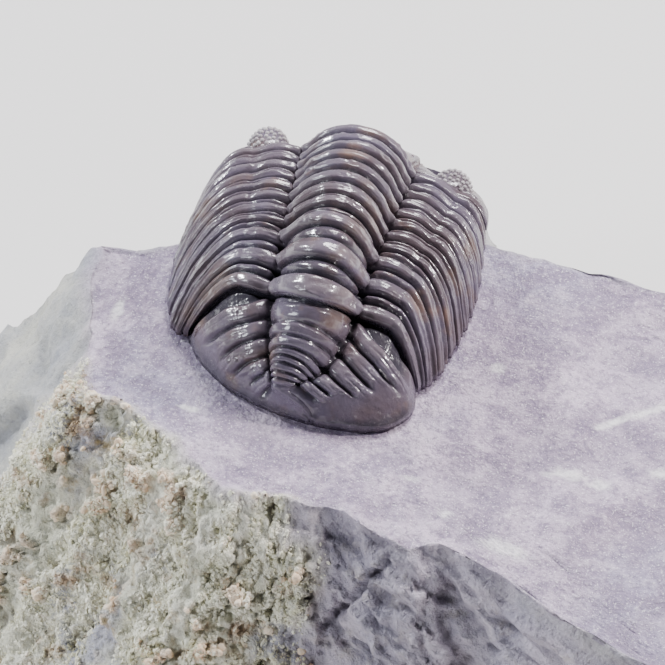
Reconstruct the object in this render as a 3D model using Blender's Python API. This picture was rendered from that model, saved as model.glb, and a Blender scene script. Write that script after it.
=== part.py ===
"""A trilobite fossil arched over the loose block of limestone that it was found in.

Run with: blender --background --python part.py
Metres, +Z up. The origin is in the middle of the block's flat underside. The head points along +Y, the
tail along -Y, and the animal's right side is +X. The script works in millimetres and scales at the end.
"""

import math

import bmesh
import bpy
import numpy as np
from mathutils import Vector, noise

MM = 0.001
GAP = 0.3  # clear space between pieces that touch

# The block of limestone
BLOCK_X = (-39.0, 39.0)
BLOCK_Y = (-34.0, 34.0)
PLATEAU_HEIGHT = 26.0  # from the underside to the top, under the fossil's middle
PLATEAU_MIDDLE = (-1.0, 9.0)
PLATEAU_FALL = (-0.06, 0.035)  # the top falls a little to the right and to the tail
# Corners of the level top, hand chosen, anticlockwise from the right
PLATEAU_EDGE = (
    (39.0, 12.0), (33.0, 16.0), (24.0, 19.0), (18.6, 20.2), (13.0, 20.4), (8.8, 21.2), (6.8, 25.0),
    (2.5, 29.4), (-5.0, 30.4), (-10.0, 26.4), (-12.4, 16.4), (-16.8, 12.0), (-20.6, 12.2), (-20.3, 9.0),
    (-19.4, 3.8),
    (-18.3, -1.0), (-17.3, -5.2), (-13.4, -6.0), (-8.3, -9.2), (-4.7, -12.6), (0.0, -12.7), (5.0, -12.7),
    (10.4, -15.1), (12.6, -14.0), (17.4, -15.8), (22.6, -19.2), (31.0, -22.9), (39.0, -27.0),
)
# Fall of the faces below that edge, as bearing in degrees from +X and millimetres down for each one outwards
FACE_SLOPES = ((0, 3.0), (35, 1.3), (90, 1.5), (150, 1.4), (180, 1.35), (215, 1.35), (250, 1.5), (275, 1.9),
               (300, 1.6), (318, 1.3), (345, 2.2), (360, 3.0))
ROCK_BEARINGS = 72
ROCK_TOP_RINGS = 9
ROCK_FACE_RINGS = 8
CRUST_LUMP = 0.9  # height of the weathered crust's lumps
LEDGE_STEP = 2.2  # height of one ledge of the broken front
FOOT_EDGE = 0.8  # least height of the block's outer edge
BROW_EDGE = 0.15  # how far the faces stay below the level top

# How the fossil lies on the block
# The axial furrow's level at the back edge of the last thorax segment
BODY_AT = (-0.85, 2.5, PLATEAU_HEIGHT + 5.8)
BODY_ROLL = 8.2
BODY_YAW = 2.1

# The thorax, back to front
SEGMENTS = 11
AXIS_STEPS = 4  # stations on one side of the axis
SEGMENT_LENGTHS = (2.3, 2.5, 2.1, 1.35, 1.68, 1.71, 1.74, 1.78, 1.81, 1.85, 1.88)
PITCH = ((0, 34.8), (1, 17.0), (2, 5.5), (5, -4.5), (8, -14.5), (11, -17.5))  # boundary and degrees, tail up
AXIS_HALF = (3.3, 4.4)  # half width of the axial rings, back and front
AXIS_RISE = (4.6, 3.45)
FULCRUM = (6.15, 8.4)  # where a pleura starts to bend down
FULCRUM_DROP = (0.0, 0.75)
TIP_HALF = (10.0, 12.1, 12.2)  # half width at the tips: back, middle and front
TIP_DROP = 9.7
TIP_SWEEP = (-7.2, -1.8)
TAIL_SKEW = 1.2  # how far the right tips lie back at the tail, and the left ones forward
AXIS_SWEEP = -0.65
FLANK_POWER = (1.4, 0.85)
MARGIN_POWER = 0.93  # below 1 the margins bulge beyond an ellipse
DOME_POWER = 0.6  # how full a shield is where its axis has sunk in
TIP_EDGE = 0.55  # height of a pleura's blunt tip above the rock

# The tail shield
PYGIDIUM_REAR = (1.2, -6.8)
PYGIDIUM_CREST = ((-2.7, 3.2), (-5.3, 0.6), (-6.9, -3.6))
RING_EDGES = (0.06, 0.275, 0.41, 0.525, 0.595, 0.65, 0.715, 0.765, 0.815)
AXIS_END = 0.84
AXIS_WIDTHS = ((0.0, 1.0), (0.25, 0.95), (0.5, 0.93), (0.7, 0.88), (0.84, 0.72), (0.9, 1.0))
AXIS_SINKS = (0.55, 0.95)  # where the axis starts to sink into the shield, and where it is gone
TAIL_LEAN = -3.0

# The head shield, hidden in the photograph
CEPHALON_FRONT = (0.0, 25.5)
CEPHALON_CREST = ((20.6, 1.7), (23.0, -0.9), (25.8, -4.4))
GLABELLA_WIDTH = 0.86  # against the axial ring behind it
GLABELLA_REACH = 2.1  # the most that it takes of the narrowing shield
GLABELLA_ENDS = 0.86
CHEEK_FALL = 1.7
EYE_AT = (7.6, 22.25, -4.42)
EYE_HALF = (1.75, 2.1, 2.5)
EYE_COLUMNS = 24
EYE_ROWS = 6
LENS_BUMP = 0.13

CUTICLE = ((0.115, 0.095, 0.10), 0.38)
LIMESTONE = ((0.40, 0.37, 0.42), 0.85)


def remove_old_objects():
    for old in list(bpy.data.objects):
        bpy.data.objects.remove(old, do_unlink=True)


def material(name, look):
    colour, roughness = look
    made = bpy.data.materials.new(name)
    made.use_nodes = True
    shader = made.node_tree.nodes["Principled BSDF"]
    shader.inputs["Base Color"].default_value = (*colour, 1.0)
    shader.inputs["Roughness"].default_value = roughness
    shader.inputs["Metallic"].default_value = 0.0
    return made


def node(name, points, faces, look):
    """One named object from points in millimetres, its faces turned outwards."""
    mesh = bpy.data.meshes.new(name)
    mesh.from_pydata([tuple(float(c) * MM for c in p) for p in points], [], faces)
    shape = bmesh.new()
    shape.from_mesh(mesh)
    bmesh.ops.recalc_face_normals(shape, faces=shape.faces)
    if shape.calc_volume(signed=True) < 0:
        bmesh.ops.reverse_faces(shape, faces=shape.faces)
    bmesh.ops.triangulate(shape, faces=shape.faces)
    shape.to_mesh(mesh)
    shape.free()
    mesh.materials.append(look)
    mesh.shade_smooth()
    mesh.set_sharp_from_angle(angle=math.radians(40))
    made = bpy.data.objects.new(name, mesh)
    bpy.context.scene.collection.objects.link(made)
    return made


def mix(pair, share):
    return pair[0] + (pair[1] - pair[0]) * share


def to_world(body):
    """Turns points of the fossil's own frame by its roll and yaw, and lays them on the block."""
    x, y, z = np.moveaxis(np.asarray(body, float), -1, 0)
    roll, yaw = math.radians(BODY_ROLL), math.radians(BODY_YAW)
    x, z = x * math.cos(roll) + z * math.sin(roll), z * math.cos(roll) - x * math.sin(roll)
    x, y = x * math.cos(yaw) - y * math.sin(yaw), x * math.sin(yaw) + y * math.cos(yaw)
    return np.stack([x + BODY_AT[0], y + BODY_AT[1], z + BODY_AT[2]], axis=-1)


def ground(x, y):
    """Height of the block's level top."""
    aside, along = x - PLATEAU_MIDDLE[0], y - PLATEAU_MIDDLE[1]
    return PLATEAU_HEIGHT + PLATEAU_FALL[0] * aside + PLATEAU_FALL[1] * along


def spine():
    """Pitch and place of the thorax's twelve boundaries, from the tail to the head."""
    at = np.arange(SEGMENTS + 1)
    pitch = np.radians(np.interp(at, [p[0] for p in PITCH], [p[1] for p in PITCH]))
    middle = (pitch[1:] + pitch[:-1]) / 2
    lengths = np.array(SEGMENT_LENGTHS)
    y = np.concatenate([[0.0], np.cumsum(lengths * np.cos(middle))])
    z = np.concatenate([[0.0], np.cumsum(lengths * np.sin(middle))])
    return pitch, y, z


def half_section(share, steps, end):
    """One side of a cross-section from the axis to the tip, as x, height and sweep, for a share of the way
    from the tail to the head. steps are the counts of axis, inner and flank stations."""
    axis = np.linspace(0.0, 1.0, steps[0] + 1) * math.pi / 2
    axis_half = mix(AXIS_HALF, share)
    fulcrum, drop = mix(FULCRUM, share), mix(FULCRUM_DROP, share)
    back, middle, front = TIP_HALF
    tip = back * (1 - share) * (1 - 2 * share) + front * share * (2 * share - 1)
    tip += middle * 4 * share * (1 - share)
    rise = np.maximum(np.cos(axis), 0.0) ** 1.2
    x = [axis_half * np.sin(axis)]
    up = [mix(AXIS_RISE, share) * rise]
    along = [AXIS_SWEEP * rise]
    inner = np.linspace(0.0, 1.0, steps[1] + 1)[1:]
    x.append(axis_half + (fulcrum - axis_half) * inner)
    up.append(0.5 * np.sin(math.pi * inner) - drop * inner**2)
    along.append(0.0 * inner)
    flank = np.linspace(0.0, end, steps[2] + 1)[1:]
    x.append(fulcrum + (tip - fulcrum) * np.sin(flank) ** mix(FLANK_POWER, share))
    up.append(-drop - TIP_DROP * (1 - np.cos(flank)))
    along.append(mix(TIP_SWEEP, share) * (1 - np.cos(flank)))
    return np.concatenate(x), np.concatenate(up), np.concatenate(along)


def place_section(boundary, section, side):
    """A half section's points on the block."""
    pitch, y, z = (values[boundary] for values in spine())
    x, up, along = section
    y = y - side * TAIL_SKEW * max(0.0, 1 - boundary / 4) * (x / TIP_HALF[0]) ** 2
    body = [side * x, y + along * math.cos(pitch) - up * math.sin(pitch),
            z + along * math.sin(pitch) + up * math.cos(pitch)]
    return to_world(np.stack(body, axis=-1))


def boundary_curve(boundary, steps=(AXIS_STEPS, 2, 5)):
    """The line across the back at one boundary, tip to tip, each flank ending just above the rock."""
    share = boundary / SEGMENTS
    halves = []
    for side in (-1, 1):
        fine = (1, 1, 200)
        line = place_section(boundary, half_section(share, fine, math.pi / 2), side)[2:]
        above = line[:, 2] > ground(line[:, 0], line[:, 1]) + GAP + TIP_EDGE
        end = math.pi / 2 * (np.argmin(above) if not above.all() else len(above)) / 200
        halves.append(place_section(boundary, half_section(share, steps, end), side))
    return np.concatenate([halves[0][::-1], halves[1][1:]])


def normals(grid):
    """Outward directions of a grid whose rows run to the tail and whose columns run to the right."""
    rows = np.gradient(grid, axis=0)
    columns = np.gradient(grid, axis=1)
    out = np.cross(rows, columns)
    return out / np.maximum(np.linalg.norm(out, axis=-1, keepdims=True), 1e-9)


def hang_on(row, rim, clearance):
    """Moves a row of a plate along Y until it follows a boundary line in plan, clear of it by the given
    distance, to its tail side where that is positive."""
    step = np.gradient(rim[:, :2], axis=0)
    aside = np.stack([step[:, 1], -step[:, 0]], axis=-1)
    aside /= np.linalg.norm(aside, axis=-1, keepdims=True)
    line = rim[:, :2] + clearance * aside
    row[:, 1] = np.interp(row[:, 0], np.maximum.accumulate(line[:, 0]), line[:, 1])


def solid(name, top, look):
    """Closes a grid of the back straight down to just above the rock, as one solid."""
    rows, columns = top.shape[:2]
    top = top.copy()
    top[..., 2] = np.maximum(top[..., 2], ground(top[..., 0], top[..., 1]) + GAP + 0.2)
    rim = [(0, c) for c in range(columns)] + [(r, columns - 1) for r in range(1, rows)]
    rim += [(rows - 1, c) for c in range(columns - 2, -1, -1)] + [(r, 0) for r in range(rows - 2, 0, -1)]
    points = list(top.reshape(-1, 3))
    first = len(points)
    points += [(x, y, ground(x, y) + GAP) for x, y, _ in (top[r, c] for r, c in rim)]
    faces = []
    for r in range(rows - 1):
        for c in range(columns - 1):
            a = r * columns + c
            faces.append((a, a + 1, a + columns + 1, a + columns))
    for i, (r, c) in enumerate(rim):
        j = (i + 1) % len(rim)
        faces.append((r * columns + c, rim[j][0] * columns + rim[j][1], first + j, first + i))
    faces.append(tuple(range(first, first + len(rim))))
    return node(name, points, faces, look)


def column_bands(columns, steps=(AXIS_STEPS, 2, 5)):
    """How far each column lies from the axis: 0 at the crest, 1 at the axial furrow, 2 at the fulcrum, 3 at
    the tip."""
    ring, inner, flank = steps
    half = [i / ring for i in range(ring + 1)]
    half += [1 + i / inner for i in range(1, inner + 1)]
    half += [2 + i / flank for i in range(1, flank + 1)]
    bands = np.array(half[::-1] + half[1:])
    assert len(bands) == columns
    return bands


def thorax_segment(number, look):
    """One plate: a sunken front band, a furrow, and a raised back band with a rounded rim."""
    back = SEGMENTS - number
    rear, front = boundary_curve(back), boundary_curve(back + 1)
    shares = np.array([0.0, 0.38, 0.62, 1.0])
    grid = front[None] + (rear - front)[None] * shares[:, None, None]
    bands = column_bands(grid.shape[1])
    ring = np.array([-0.75, -0.45, 0.05, -0.05])
    pleura = np.array([-0.45, -0.3, 0.05, -0.05])
    furrow = np.array([-0.8, -0.75, -0.55, -0.45])
    on_ring = (bands < 0.9)[None]
    in_furrow = (np.abs(bands - 1) < 0.1)[None]
    lift = np.where(in_furrow, furrow[:, None], np.where(on_ring, ring[:, None], pleura[:, None]))
    grid = grid + normals(grid) * lift[..., None]
    hang_on(grid[0], front, GAP)
    hang_on(grid[-1], rear, 0.0)
    return solid(f"thorax_segment_{number:02d}", grid, look)


def curve_through(ends, share):
    """A quadratic curve of y and z through three control points."""
    a, b, c = (np.array(p) for p in ends)
    return a * (1 - share) ** 2 + 2 * b * share * (1 - share) + c * share**2


def shield(front, crest, margin_end, shares, axis_widths, blends, lean):
    """A vaulted shield grown from a boundary curve to a half-elliptic margin on the rock. Each row runs
    from the margin's left over the crest to its right. blends says how far the axis has sunk into it, and
    lean how far its end lies to the right."""
    columns = len(front)
    middle = columns // 2
    tips = front[0], front[-1]
    foot = (tips[0] + tips[1]) / 2
    end = to_world((*margin_end, 0.0))
    end[2] = ground(end[0], end[1]) + GAP + TIP_EDGE
    bands = column_bands(columns)
    parts = []
    for i, start in enumerate(front):
        basis = np.stack([tips[0 if i < middle else 1] - foot, front[middle] - foot], axis=-1)
        (out, up), *_ = np.linalg.lstsq(basis, start - foot, rcond=None)
        parts.append((out, up, start - foot - basis @ np.array([out, up])))
    edge_out = parts[middle + AXIS_STEPS][0]
    crest_end = to_world((0.0, *crest[-1]))
    rightwards = to_world((1.0, 0.0, 0.0)) - to_world((0.0, 0.0, 0.0))
    rows = []
    for share, width, blend in zip(shares, axis_widths, blends):
        angle = share * math.pi / 2
        y, z = curve_through(crest, share)
        top = to_world((0.0, y, z)) + (end - crest_end) * share**3
        sideways, lengthways = math.cos(angle) ** MARGIN_POWER, math.sin(angle) ** MARGIN_POWER
        left = foot + (tips[0] - foot) * sideways + (end - foot) * lengthways
        right = foot + (tips[1] - foot) * sideways + (end - foot) * lengthways
        centre = (left + right) / 2
        row = []
        for i, (out, up, rest) in enumerate(parts):
            if bands[i] <= 1:
                out *= width
            else:
                out = 1 - (1 - out) * (1 - edge_out * width) / (1 - edge_out)
            up += (max(1 - out**2, 0.0) ** DOME_POWER - up) * blend
            reach = (left if i < middle else right) - centre
            aside = lean * share**1.5 * min(1.0, 4 * sideways) ** 2 * (1 - min(out**2, 1.0)) * rightwards
            row.append(centre + reach * out + (top - centre) * up + rest * (1 - share) + aside)
        rows.append(row)
    return np.array(rows)


def pygidium(look):
    """The tail shield: a ringed axis that narrows to the back, with ribs that fan out to a smooth border."""
    front = boundary_curve(0)
    shares, kinds = [0.035], ["start"]
    for here, after in zip(RING_EDGES, RING_EDGES[1:]):
        for part, kind in ((0.25, "rise"), (0.72, "crest"), (1.0, "furrow")):
            shares.append(here + (after - here) * part)
            kinds.append(kind)
    shares += [0.9, 0.955]
    kinds += ["smooth", "smooth"]
    shares = np.array(shares)
    widths = np.interp(shares, [a[0] for a in AXIS_WIDTHS], [a[1] for a in AXIS_WIDTHS])
    blends = np.clip((shares - AXIS_SINKS[0]) / (AXIS_SINKS[1] - AXIS_SINKS[0]), 0.0, 1.0)
    grid = shield(front, PYGIDIUM_CREST, PYGIDIUM_REAR, shares, widths, blends, TAIL_LEAN)
    bands = column_bands(grid.shape[1])
    lift = np.zeros(grid.shape[:2])
    for r, (share, kind) in enumerate(zip(shares, kinds)):
        for c, band in enumerate(bands):
            depth = {"start": -0.7, "rise": 0.0, "crest": 0.1, "furrow": -0.3, "smooth": 0.0}[kind]
            if abs(band - 1) < 0.1 and share < AXIS_END:
                depth = -0.6
            elif band > 1 and kind == "furrow":
                depth = -0.45 if share < 0.7 else -0.1
            fade = 1.0 if band < 2.5 else max(0.0, 1 - (band - 2.5) / 0.3)
            lift[r, c] = depth * (fade if kind != "start" else 1.0)
    grid = grid + normals(grid) * lift[..., None]
    hang_on(grid[0], front, GAP)
    return solid("pygidium", grid, look)


def eye(name, side):
    """A kidney-shaped eye, its lenses raised in staggered rows, as a closed body that joins the cheek."""
    rows = []
    for r in range(EYE_ROWS):
        climb = math.pi / 2 * (r / (EYE_ROWS - 1)) * 0.93
        ring = []
        for c in range(EYE_COLUMNS):
            turn = 2 * math.pi * (c + 0.5 * (r % 2)) / EYE_COLUMNS
            is_lens = (c + r) % 3 == 0 and 0 < r < EYE_ROWS - 1
            swell = 1.0 + (LENS_BUMP if is_lens else 0.0)
            x = EYE_HALF[0] * swell * math.cos(turn) * math.cos(climb) ** 0.6
            y = EYE_HALF[1] * swell * math.sin(turn) * math.cos(climb) ** 0.6
            ring.append((x, y, EYE_HALF[2] * math.sin(climb) * (1 + 0.03 * swell)))
        rows.append(ring)
    rows.insert(0, [(x, y, -1.5) for x, y, _ in rows[0]])
    body = np.array(rows)
    body[..., 0] = side * (EYE_AT[0] + body[..., 0])
    body[..., 1] += EYE_AT[1]
    body[..., 2] += EYE_AT[2]
    world = to_world(body)
    least = ground(world[..., 0], world[..., 1]) + GAP + 0.2 + 0.1 * np.arange(len(rows))[:, None]
    world[..., 2] = np.maximum(world[..., 2], least)
    count = EYE_COLUMNS
    points = list(world.reshape(-1, 3))
    faces = [tuple(range(count)), tuple(range(len(points) - count, len(points)))]
    for r in range(len(rows) - 1):
        for c in range(count):
            d = (c + 1) % count
            faces.append((r * count + c, r * count + d, (r + 1) * count + d, (r + 1) * count + c))
    made = node(name, points, faces, None)
    made.hide_render = True
    made.display_type = "WIRE"
    return made


def cephalon(look):
    """The head shield: a swollen glabella that widens to the front, cheeks that fall to the margin, and
    both eyes grown from the cheeks."""
    front = boundary_curve(SEGMENTS)
    shares = np.array([0.03, 0.09, 0.14, 0.2, 0.3, 0.42, 0.54, 0.66, 0.77, 0.86, 0.92, 0.965])
    widths = np.minimum(GLABELLA_WIDTH / np.cos(shares * math.pi / 2), GLABELLA_REACH)
    blends = np.clip((shares - GLABELLA_ENDS) / (1 - GLABELLA_ENDS), 0.0, 1.0)
    grid = shield(front, CEPHALON_CREST, CEPHALON_FRONT, shares, widths, blends, 0.0)[::-1]
    bands = column_bands(grid.shape[1])
    lift = np.zeros(grid.shape[:2])
    fall = np.zeros(grid.shape[:2])
    for r, share in enumerate(shares[::-1]):
        for c, band in enumerate(bands):
            depth = -0.35 if share < 0.05 else 0.0
            if abs(share - 0.14) < 0.01 and band < 2.5:
                depth = -0.45
            if band < 0.9 and 0.2 < share < GLABELLA_ENDS:
                depth += 0.35
            if abs(band - 1) < 0.1 and 0.05 < share < 0.85:
                depth = -0.5
            if band > 1 and share > 0.1:
                forward = math.sin(math.pi * min(0.5, (share - 0.1) / 0.9))
                fall[r, c] = CHEEK_FALL * forward * math.sin(math.pi * (band - 1) / 2)
            lift[r, c] = depth
    grid = grid + normals(grid) * lift[..., None]
    grid[..., 2] -= fall
    hang_on(grid[-1], front, 0.0)
    made = solid("cephalon", grid, look)
    for side, name in ((-1, "left_eye_form"), (1, "right_eye_form")):
        union = made.modifiers.new(name, "BOOLEAN")
        union.operation = "UNION"
        union.solver = "EXACT"
        union.object = eye(name, side)
    return made


def edge_radius(bearing, corners, centre):
    """How far from the centre a ray meets a closed outline."""
    direction = (math.cos(bearing), math.sin(bearing))
    best = 0.0
    for (ax, ay), (bx, by) in zip(corners, corners[1:] + corners[:1]):
        ax, ay, bx, by = ax - centre[0], ay - centre[1], bx - centre[0], by - centre[1]
        ex, ey = bx - ax, by - ay
        cross = direction[0] * ey - direction[1] * ex
        if abs(cross) < 1e-9:
            continue
        along = (ax * ey - ay * ex) / cross
        share = (ax * direction[1] - ay * direction[0]) / cross
        if along > 0 and -1e-6 <= share <= 1 + 1e-6:
            best = max(best, along)
    return best


def roughness(x, y, z, size, detail):
    return noise.fractal(Vector((x, y, z)) / size, 0.8, 2.0, detail)


def matrix_rock(look):
    """The block: a level top, a weathered crust at the left front, a ledged break at the right front, and
    a flat underside. It is cut off plainly at the sides that the photograph doesn't show."""
    centre = (0.0, 6.0)
    corners = tuple(PLATEAU_EDGE)
    box = tuple((BLOCK_X[i], BLOCK_Y[j]) for i, j in ((1, 0), (1, 1), (0, 1), (0, 0)))
    bearings_known = [s[0] for s in FACE_SLOPES]
    slopes_known = [s[1] for s in FACE_SLOPES]
    columns = []
    for k in range(ROCK_BEARINGS):
        bearing = 2 * math.pi * k / ROCK_BEARINGS
        degrees = math.degrees(bearing)
        slope = float(np.interp(degrees, bearings_known, slopes_known))
        edge = edge_radius(bearing, corners, centre)
        wall = edge_radius(bearing, box, centre)
        edge = min(edge, wall - 0.5)
        brow = ground(centre[0] + edge * math.cos(bearing), centre[1] + edge * math.sin(bearing))
        foot = min(edge + brow / slope, wall)
        crust = math.exp(-(((degrees - 222) / 38) ** 2))
        broken = math.exp(-(((degrees - 292) / 30) ** 2))
        column = []
        for i in range(1, ROCK_TOP_RINGS + 1):
            radius = edge * (i / ROCK_TOP_RINGS) ** 0.9
            x = centre[0] + radius * math.cos(bearing)
            y = centre[1] + radius * math.sin(bearing)
            away = max(0.0, min(1.0, (math.hypot(x + 1, (y - 11) * 0.8) - 17) / 5))
            z = ground(x, y) + away * 0.45 * roughness(x, y, 0.0, 9.0, 3) - away * 0.3
            column.append((x, y, z))
        for i in range(1, ROCK_FACE_RINGS + 1):
            out = (i / ROCK_FACE_RINGS) ** 0.85
            radius = edge + (foot - edge) * out
            fall = slope * (radius - edge)
            height = brow - fall
            x = centre[0] + radius * math.cos(bearing)
            y = centre[1] + radius * math.sin(bearing)
            inside = min(1.0, (foot - radius) / 3.0)
            lump = crust * CRUST_LUMP * roughness(x, y, height, 3.0, 2) * 2
            ledge = broken * 0.9 * (math.floor(height / LEDGE_STEP) * LEDGE_STEP - height + LEDGE_STEP / 2)
            rough = 0.8 * roughness(x, y, height, 6.0, 3)
            height = height + inside * (lump + ledge + rough)
            height = max(FOOT_EDGE, min(height, ground(x, y) - BROW_EDGE))
            column.append((x, y, height))
        column.append((column[-1][0], column[-1][1], 0.0))
        columns.append(column)
    rings = len(columns[0])
    points = [(centre[0], centre[1], ground(*centre))]
    points += [point for column in columns for point in column]
    faces = []
    for k in range(ROCK_BEARINGS):
        a, b = 1 + k * rings, 1 + ((k + 1) % ROCK_BEARINGS) * rings
        faces.append((0, a, b))
        for i in range(rings - 1):
            faces.append((a + i, a + i + 1, b + i + 1, b + i))
    faces.append(tuple(1 + k * rings + rings - 1 for k in range(ROCK_BEARINGS)))
    return node("matrix_rock", points, faces, look)


def main():
    remove_old_objects()
    stone = material("limestone", LIMESTONE)
    matrix_rock(stone)
    cephalon(material("cephalon_cuticle", CUTICLE))
    for number in range(1, SEGMENTS + 1):
        thorax_segment(number, material(f"segment_{number:02d}_cuticle", CUTICLE))
    pygidium(material("pygidium_cuticle", CUTICLE))


main()
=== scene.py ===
import math

import bpy
import numpy as np
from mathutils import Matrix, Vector, noise


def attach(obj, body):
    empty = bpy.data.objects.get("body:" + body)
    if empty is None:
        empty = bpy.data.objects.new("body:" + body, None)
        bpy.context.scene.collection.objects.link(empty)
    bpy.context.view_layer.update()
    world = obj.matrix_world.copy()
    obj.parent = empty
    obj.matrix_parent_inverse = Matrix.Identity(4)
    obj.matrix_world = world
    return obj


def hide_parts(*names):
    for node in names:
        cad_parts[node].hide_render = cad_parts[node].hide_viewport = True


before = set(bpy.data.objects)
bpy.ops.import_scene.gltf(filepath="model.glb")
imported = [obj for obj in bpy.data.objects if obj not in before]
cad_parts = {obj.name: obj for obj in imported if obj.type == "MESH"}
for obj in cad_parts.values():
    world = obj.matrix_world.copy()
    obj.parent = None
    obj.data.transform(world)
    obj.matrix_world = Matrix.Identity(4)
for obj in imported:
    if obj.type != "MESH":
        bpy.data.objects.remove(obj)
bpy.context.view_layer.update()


# The block of limestone that the fossil was found in. It is one loose stone: a level bedding plane on top,
# a greenish weathered skin on the left, a fresh ledged break on the right front, and a flat underside.

MM = 0.001  # all lengths are in millimetres until they are laid in a mesh
GAP = 0.3  # least distance of the fossil's pieces above the stone
BLOCK_X = (-39.0, 39.0)
BLOCK_Y = (-34.0, 34.0)
PLATEAU_HEIGHT = 26.0
PLATEAU_MIDDLE = (-1.0, 9.0)
PLATEAU_FALL = (-0.06, 0.035)
PLATEAU_EDGE = (
    (39.0, 12.0), (33.0, 16.0), (24.0, 19.0), (18.6, 20.2), (13.0, 20.4), (8.8, 21.2), (6.8, 25.0),
    (2.5, 29.4), (-5.0, 30.4), (-10.0, 26.4), (-12.4, 16.4), (-16.8, 12.0), (-20.6, 12.2), (-20.3, 9.0),
    (-19.4, 3.8),
    (-18.3, -1.0), (-17.3, -5.2), (-13.4, -6.0), (-8.3, -9.2), (-4.7, -12.6), (0.0, -12.7), (5.0, -12.7),
    (10.4, -15.1), (12.6, -14.0), (17.4, -15.8), (22.6, -19.2), (31.0, -22.9), (39.0, -27.0),
)
# Bearing in degrees and steepness of the block's faces
FACE_SLOPES = ((0, 3.0), (35, 1.3), (90, 1.5), (150, 1.4), (180, 1.35), (215, 1.35), (250, 1.5), (275, 1.9),
               (300, 1.6), (318, 1.3), (345, 2.2), (360, 3.0))
ROCK_CENTRE = (0.0, 6.0)
ROCK_BEARINGS = 470
ROCK_TOP_RINGS = 84
ROCK_FACE_RINGS = 104
NEAR_SIDE = 262.0  # bearing in degrees round which the block's points lie closest together
LEDGE_STEP = 2.2
CRUST_FROM, CRUST_TO = 203.0, 277.0  # bearings between which the weathered skin lies
BREAK_END = (352.0, 340.0)  # bearings over which the fresh break fades out again
# Chalky patches on the top, as x, y and their half length and half width
CHALK_SPOTS = ((20.5, -3.3, 1.9, 0.8), (22.9, -3.8, 1.3, 0.7), (16.2, -12.6, 1.5, 0.8),
               (18.0, -13.0, 1.4, 0.7), (12.9, 6.6, 0.35, 0.9), (12.2, -10.2, 0.6, 0.5),
               (27.5, -1.5, 1.5, 0.5), (-17.2, 5.0, 0.5, 1.6), (-9.0, -4.6, 1.2, 0.35),
               (9.0, -7.4, 0.9, 0.3))
CHALK_VEIN = ((21.6, 2.4), (26.4, 6.3))
CRACK = ((5.0, -16.3), (8.8, -15.1))
STREAK = (0.8, -0.6)  # direction in plan of the break's grooves


def ground(x, y):
    """Height of the bedding plane, in millimetres."""
    aside, along = x - PLATEAU_MIDDLE[0], y - PLATEAU_MIDDLE[1]
    return PLATEAU_HEIGHT + PLATEAU_FALL[0] * aside + PLATEAU_FALL[1] * along


def smooth(low, high, value):
    share = np.clip((value - low) / (high - low), 0.0, 1.0)
    return share * share * (3.0 - 2.0 * share)


def fractal(points, size, octaves, seed=0.0):
    """Fractal noise of about -1 to 1 at each point, with lumps of the given size in millimetres."""
    shift = Vector((seed * 17.3, seed * 5.1, seed * 9.7))
    flat = np.asarray(points, float).reshape(-1, 3) / size
    values = [noise.fractal(Vector(p) + shift, 1.0, 2.0, octaves) for p in flat]
    return np.array(values).reshape(np.shape(points)[:-1])


def cells(points, size, seed=0.0):
    """For each point the value of the cell that it lies in and how far it is from that cell's border."""
    shift = Vector((seed * 3.7, seed * 11.9, seed * 7.3))
    flat = np.asarray(points, float).reshape(-1, 3) / size
    values, borders = [], []
    for p in flat:
        distances, middles = noise.voronoi(Vector(p) + shift)
        values.append(noise.cell(middles[0] * 7.0))
        borders.append(distances[1] - distances[0])
    shape = np.shape(points)[:-1]
    return np.array(values).reshape(shape), np.array(borders).reshape(shape)


def from_segment(points, ends):
    """How far each point lies in plan from a straight line between two ends."""
    start, step = np.array(ends[0]), np.array(ends[1]) - np.array(ends[0])
    beside = points[..., :2] - start
    share = np.clip(beside @ step / (step @ step), 0.0, 1.0)
    return np.linalg.norm(beside - share[..., None] * step, axis=-1)


def edge_radius(bearing, corners):
    """How far from the rock's centre a ray meets a closed outline."""
    direction = (math.cos(bearing), math.sin(bearing))
    best = 0.0
    for (ax, ay), (bx, by) in zip(corners, corners[1:] + corners[:1]):
        ax, ay = ax - ROCK_CENTRE[0], ay - ROCK_CENTRE[1]
        ex, ey = bx - ROCK_CENTRE[0] - ax, by - ROCK_CENTRE[1] - ay
        cross = direction[0] * ey - direction[1] * ex
        if abs(cross) < 1e-9:
            continue
        along = (ax * ey - ay * ex) / cross
        share = (ax * direction[1] - ay * direction[0]) / cross
        if along > 0 and -1e-6 <= share <= 1 + 1e-6:
            best = max(best, along)
    return best


def grid_normals(grid):
    out = np.cross(np.gradient(grid, axis=0), np.gradient(grid, axis=1))
    return out / np.maximum(np.linalg.norm(out, axis=-1, keepdims=True), 1e-9)


def lay_mesh(name, points, faces, marks=None):
    """A smooth-shaded object from points in millimetres, with named values on its points."""
    mesh = bpy.data.meshes.new(name)
    mesh.from_pydata((np.asarray(points, float) * MM).tolist(), [], faces)
    mesh.update()
    for mark, values in (marks or {}).items():
        stored = mesh.attributes.new(mark, "FLOAT", "POINT")
        stored.data.foreach_set("value", np.asarray(values, np.float32).ravel())
    mesh.shade_smooth()
    made = bpy.data.objects.new(name, mesh)
    bpy.context.scene.collection.objects.link(made)
    return made


def crowded_bearings(count):
    """Bearings all round, closer together on the side that the photograph shows."""
    even = np.linspace(0.0, 2 * math.pi, 2000)
    weight = 1.0 + 2.2 * np.exp(-((np.degrees(even) - NEAR_SIDE) / 58.0) ** 2)
    total = np.concatenate([[0.0], np.cumsum((weight[1:] + weight[:-1]) / 2)])
    return np.interp(np.arange(count) * total[-1] / count, total, even)


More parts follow.
